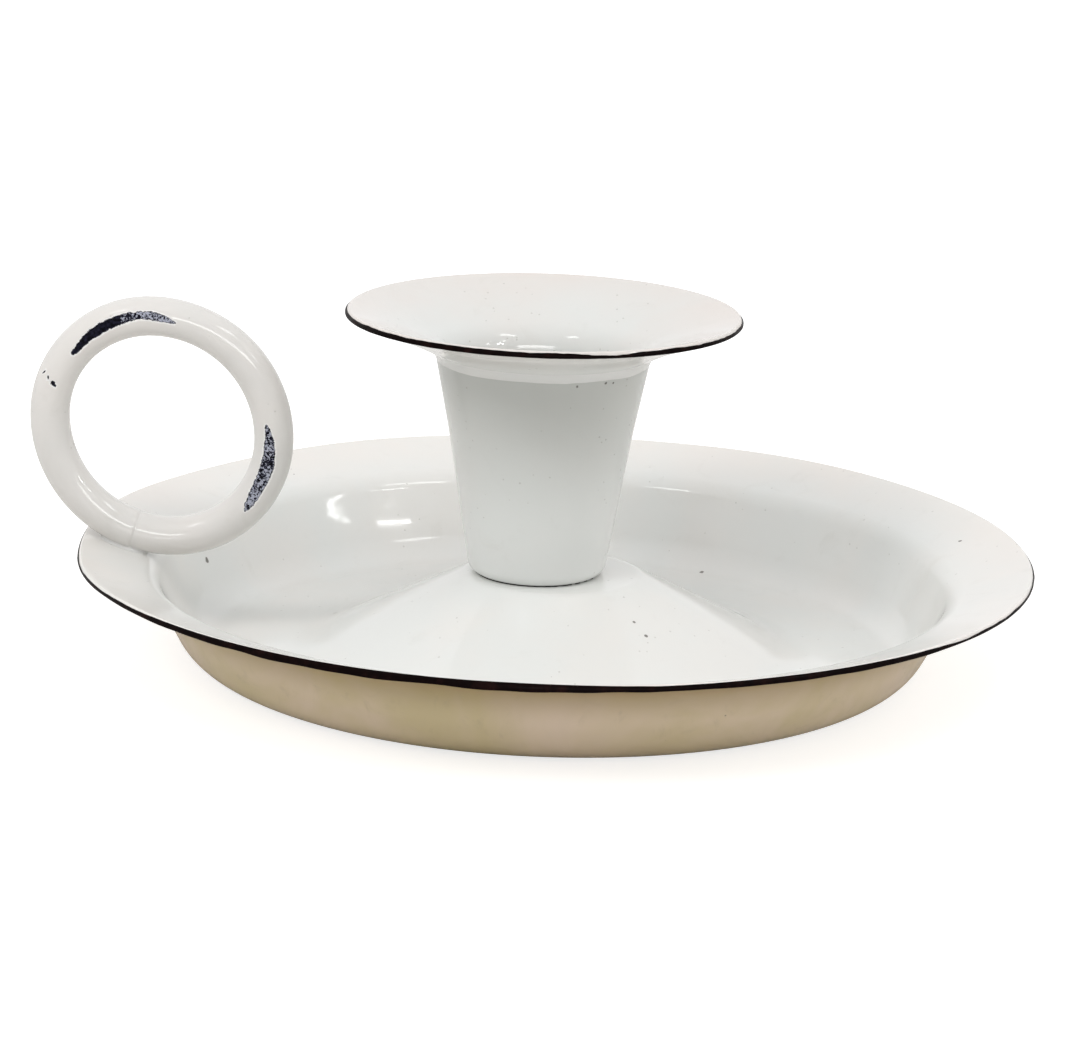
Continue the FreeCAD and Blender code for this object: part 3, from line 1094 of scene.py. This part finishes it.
# The bright shapes that the enamel mirrors: the same values, and the roll in degrees
shines = [
    ("frame_low", 58.0, 25.9, 7.5, 2.4, 26, -14),
    ("frame_high", 58.3, 33.3, 10, 1.0, 20, -15),
    ("frame_left_low", 75, 24.2, 7.0, 0.35, 33, -10),
    ("frame_left_high", 76.2, 26.2, 6.6, 0.4, 33, -40),
    ("low_front", 10, 18, 44, 7, 7, 0),
    ("high_left", -45, 52, 12, 5, 6, 0),
    ("high_right", 57, 51.5, 17, 5, 6, 0),
]


def rolled(side, up, roll):
    """Two directions at right angles, turned in their own plane."""
    return side * math.cos(roll) + up * math.sin(roll), up * math.cos(roll) - side * math.sin(roll)


def placed(made, place, side, up, back):
    """Put a camera or a lamp in the scene at a place, from its own three axes."""
    turned = Matrix((side, up, back)).transposed().to_4x4()
    made.matrix_world = Matrix.Translation(place) @ turned
    bpy.context.scene.collection.objects.link(made)


def make_camera():
    ahead = Vector((
        math.sin(camera_pan) * math.cos(camera_tilt),
        math.cos(camera_pan) * math.cos(camera_tilt),
        -math.sin(camera_tilt),
    ))
    right = ahead.cross(Vector((0, 0, 1))).normalized()
    right, up = rolled(right, right.cross(ahead), camera_roll)
    data = bpy.data.cameras.new("camera")
    data.sensor_width = sensor_width
    data.lens = focal_pixels / image_width * sensor_width
    data.clip_start = camera_clip
    camera = bpy.data.objects.new("camera", data)
    placed(camera, camera_place, right, up, -ahead)
    bpy.context.scene.camera = camera


def lamp(name, azimuth, elevation, wide, high, radiance, roll=0, mirrored=False):
    """An area lamp seen from the object at a direction and size in degrees, of a given radiance.

    Azimuth 0 is the camera's side and 90 is +X. A mirrored lamp is only a mirror image, and any
    other one lights without one.
    """
    a, e = math.radians(azimuth), math.radians(elevation)
    way = Vector((math.sin(a) * math.cos(e), -math.cos(a) * math.cos(e), math.sin(e)))
    data = bpy.data.lights.new(name, "AREA")
    data.shape = "RECTANGLE"
    data.size = 2 * lamp_distance * math.tan(math.radians(wide) / 2)
    data.size_y = 2 * lamp_distance * math.tan(math.radians(high) / 2)
    data.energy = radiance * data.size * data.size_y * math.pi
    made = bpy.data.objects.new(name, data)
    side = Vector((math.cos(a), math.sin(a), 0))
    side, up = rolled(side, way.cross(side), math.radians(roll))
    placed(made, Vector((0, 0, rim_height)) + way * lamp_distance, side, up, way)
    made.visible_glossy = mirrored
    made.visible_diffuse = not mirrored


def make_world():
    """White to the camera and in reflections; a tent that is brighter at its sides for the rest."""
    world = bpy.data.worlds.new("studio")
    world.use_nodes = True
    graph = Graph(world.node_tree, "Generated")
    x, y, z = graph.axes()
    side = graph.times(graph.squared(x), graph.add(graph.times(x, tent_right), tent_side))
    top = graph.times(graph.squared(graph.math("MAXIMUM", z, 0.0)), tent_top)
    back = graph.times(graph.squared(graph.math("MAXIMUM", y, 0.0)), tent_back)
    front = graph.times(graph.squared(graph.math("MINIMUM", y, 0.0)), tent_front)
    tent = graph.add(graph.add(side, top), graph.add(back, front))
    paths = graph.node("ShaderNodeLightPath").outputs
    seen = graph.most([paths["Is Camera Ray"], paths["Is Glossy Ray"], paths["Is Transmission Ray"]])
    level = graph.node("ShaderNodeMix", {0: seen, 2: tent, 3: 1.0})
    background = graph.tree.nodes["Background"]
    graph.put(background.inputs["Color"], rgb(1, 1, 1))
    graph.put(background.inputs["Strength"], level.outputs[0])
    bpy.context.scene.world = world


def make_floor():
    """A pale floor that keeps the object's shadow and runs out into white."""
    half = floor_half
    corners = [(-half, -half, 0), (half, -half, 0), (half, half, 0), (-half, half, 0)]
    graph = MaterialGraph("floor")
    graph.shade({"Base Color": floor_tone, "Roughness": 0.6})
    seen = graph.node("ShaderNodeLightPath").outputs["Is Camera Ray"]
    away = graph.ramp(graph.radius(), floor_white_start, floor_white_end, floor_white_share, 1.0)
    white = graph.node("ShaderNodeEmission")
    mixed = graph.node("ShaderNodeMixShader", {
        0: graph.times(seen, away),
        1: graph.shader.outputs[0],
        2: white.outputs[0],
    })
    lift = graph.node("ShaderNodeEmission", {"Strength": graph.times(seen, floor_lift)})
    total = graph.node("ShaderNodeAddShader", {0: mixed.outputs[0], 1: lift.outputs[0]})
    graph.put(graph.tree.nodes["Material Output"].inputs["Surface"], total.outputs[0])
    floor = new_piece("floor", corners, [(0, 1, 2, 3)], [graph.material])
    floor.location.z = -floor_drop


def make_lamps():
    for values in soft_lamps:
        lamp(*values)
    for values in shines:
        lamp(*values, mirrored=True)


make_camera()
make_world()
make_floor()
make_lamps()

makers = (
    saucer, saucer_edge, socket, socket_foot_shade, collar, collar_edge, collar_fillet, finger_ring,
    ring_web,
)
for maker in makers:
    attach(maker(), "root")

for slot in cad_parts["socket_rivet"].material_slots:
    slot.material = joint_white

bpy.context.scene.view_settings.view_transform = "Standard"
